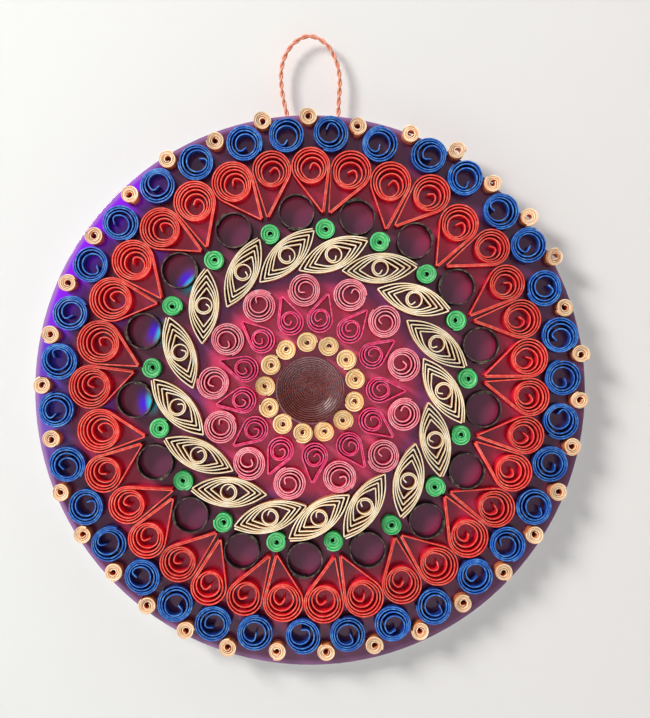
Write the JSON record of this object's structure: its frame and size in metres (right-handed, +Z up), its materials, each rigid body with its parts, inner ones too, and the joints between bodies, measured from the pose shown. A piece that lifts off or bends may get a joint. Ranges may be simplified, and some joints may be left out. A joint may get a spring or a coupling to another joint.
{
  "type": "quilled paper wall mandala",
  "caption": "Round wall hanging of quilled paper coils, teardrops and marquises glued in rings on a plastic disc, with a twisted cord loop at the top.",
  "frame": {"origin": "centre of the disc, on its back face", "axes": "+Y out of the disc's back towards the wall, -Y towards the viewer, +Z up to the cord, +X to the viewer's right"},
  "size_m": [0.1208, 0.0052, 0.1394],
  "materials": {
    "disc_plastic": "gloss",
    "copper_cord": "satin",
    "brown_paper": "satin",
    "gold_paper": "satin",
    "magenta_paper": "satin",
    "pink_paper": "satin",
    "cream_paper": "satin",
    "green_paper": "satin",
    "black_paper": "satin",
    "red_paper": "satin",
    "blue_paper": "satin",
    "peach_paper": "satin"
  },
  "bodies": {
    "root": {"backing_disc": "disc_plastic", "black_rings": "black_paper", "blue_coils_01": "blue_paper", "blue_coils_02": "blue_paper", "blue_coils_03": "blue_paper", "blue_coils_04": "blue_paper", "centre_coil": "brown_paper", "gold_coils_01": "gold_paper", "gold_coils_02": "gold_paper", "green_coils_01": "green_paper", "green_coils_02": "green_paper", "hanging_cord": "copper_cord", "heart_01": "red_paper", "heart_02": "red_paper", "heart_03": "red_paper", "heart_04": "red_paper", "heart_05": "red_paper", "heart_06": "red_paper", "heart_07": "red_paper", "heart_08": "red_paper", "heart_09": "red_paper", "heart_10": "red_paper", "heart_11": "red_paper", "heart_12": "red_paper", "heart_13": "red_paper", "heart_14": "red_paper", "heart_15": "red_paper", "heart_16": "red_paper", "heart_17": "red_paper", "magenta_drops_01": "magenta_paper", "magenta_drops_02": "magenta_paper", "marquise_01": "cream_paper", "marquise_02": "cream_paper", "marquise_03": "cream_paper", "marquise_04": "cream_paper", "marquise_05": "cream_paper", "marquise_06": "cream_paper", "marquise_07": "cream_paper", "marquise_08": "cream_paper", "marquise_09": "cream_paper", "marquise_10": "cream_paper", "marquise_11": "cream_paper", "marquise_12": "cream_paper", "marquise_13": "cream_paper", "marquise_14": "cream_paper", "marquise_15": "cream_paper", "marquise_16": "cream_paper", "marquise_17": "cream_paper", "pink_coils_01": "pink_paper", "pink_coils_02": "pink_paper", "rim_coils_01": "peach_paper", "rim_coils_02": "peach_paper", "rim_coils_03": "peach_paper", "rim_coils_04": "peach_paper"}
  },
  "joints": []
}
